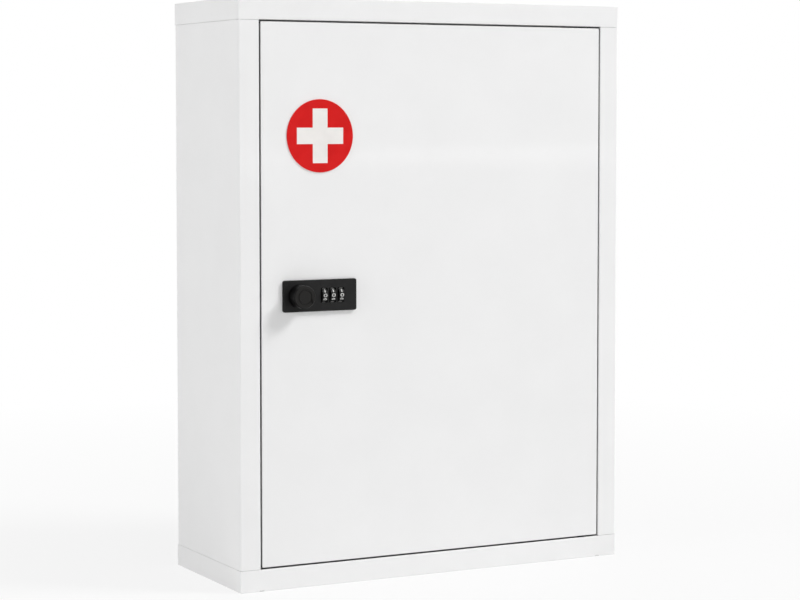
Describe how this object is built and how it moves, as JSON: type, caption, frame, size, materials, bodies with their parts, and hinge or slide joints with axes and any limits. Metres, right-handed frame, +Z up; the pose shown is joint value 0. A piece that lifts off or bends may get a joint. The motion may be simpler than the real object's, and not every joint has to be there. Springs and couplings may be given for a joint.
{
  "type": "lockable medicine cabinet",
  "caption": "Wall-hung sheet-steel medicine cabinet with a flush door on concealed pins, shelves, a first-aid emblem, and a combination lock with number wheels and a turning knob.",
  "frame": {"origin": "centre of the underside of the body, halfway between its front and back faces", "axes": "+X to the right seen from the front, +Y to the back (the wall), +Z up"},
  "size_m": [0.4, 0.1665, 0.535],
  "materials": {
    "white_powder_coat": "smooth white powder coat, semi-gloss",
    "bright_zinc_steel": "zinc-plated steel, satin",
    "spring_steel": "plain rolled spring steel",
    "black_nylon": "moulded nylon, matte",
    "clear_soft_pad": "soft clear pad, slightly cloudy",
    "red_gloss_plastic": "smooth red, semi-gloss",
    "white_gloss_plastic": "smooth white, semi-gloss",
    "black_die_cast": "black satin coat on die-cast metal",
    "black_wheel_plastic": "moulded black plastic, satin"
  },
  "bodies": {
    "cabinet": {"top_cap": "white_powder_coat", "bottom_cap": "white_powder_coat", "left_side_panel": "white_powder_coat", "right_side_panel": "white_powder_coat", "back_panel": "white_powder_coat", "back_rivets": "bright_zinc_steel", "upper_shelf": "white_powder_coat", "lower_shelf": "white_powder_coat", "left_shelf_brackets": "white_powder_coat", "right_shelf_brackets": "white_powder_coat", "upper_hinge_plate": "bright_zinc_steel", "lower_hinge_plate": "bright_zinc_steel", "upper_hinge_bush": "black_nylon", "lower_hinge_bush": "black_nylon", "strike_plate": "bright_zinc_steel", "door_buffers": "clear_soft_pad"},
    "door": {"door_panel": "white_powder_coat", "door_stiffener": "white_powder_coat", "upper_pin_block": "bright_zinc_steel", "lower_pin_block": "bright_zinc_steel", "upper_hinge_pin": "bright_zinc_steel", "lower_hinge_pin": "bright_zinc_steel", "emblem_disc": "red_gloss_plastic", "emblem_cross": "white_gloss_plastic", "lock_plate": "black_die_cast", "lock_case": "black_die_cast", "lock_screws": "bright_zinc_steel", "wheel_axle": "bright_zinc_steel", "detent_spring": "spring_steel", "release_bar": "bright_zinc_steel"},
    "knob": {"lock_knob": "black_die_cast", "knob_spindle": "bright_zinc_steel", "lock_cam": "bright_zinc_steel", "cam_washer": "bright_zinc_steel", "cam_screw": "bright_zinc_steel"},
    "left_wheel": {"left_number_wheel": "black_wheel_plastic", "left_code_ring": "bright_zinc_steel"},
    "middle_wheel": {"middle_number_wheel": "black_wheel_plastic", "middle_code_ring": "bright_zinc_steel"},
    "right_wheel": {"right_number_wheel": "black_wheel_plastic", "right_code_ring": "bright_zinc_steel"}
  },
  "joints": [
    {"name": "door_hinge", "type": "hinge", "parent": "cabinet", "child": "door", "pos_m": [0.1645, -0.0694, 0.2675], "axis": [0, 0, 1], "range_deg": [0, 110]},
    {"name": "knob_turn", "type": "hinge", "parent": "door", "child": "knob", "pos_m": [-0.1429, -0.0783, 0.2666], "axis": [0, 1, 0], "range_deg": [0, 90]},
    {"name": "left_wheel_spin", "type": "hinge", "parent": "door", "child": "left_wheel", "pos_m": [-0.11755, -0.0737, 0.2666], "axis": [1, 0, 0], "continuous": true},
    {"name": "middle_wheel_spin", "type": "hinge", "parent": "door", "child": "middle_wheel", "pos_m": [-0.1091, -0.0737, 0.2666], "axis": [1, 0, 0], "continuous": true},
    {"name": "right_wheel_spin", "type": "hinge", "parent": "door", "child": "right_wheel", "pos_m": [-0.10065, -0.0737, 0.2666], "axis": [1, 0, 0], "continuous": true}
  ]
}
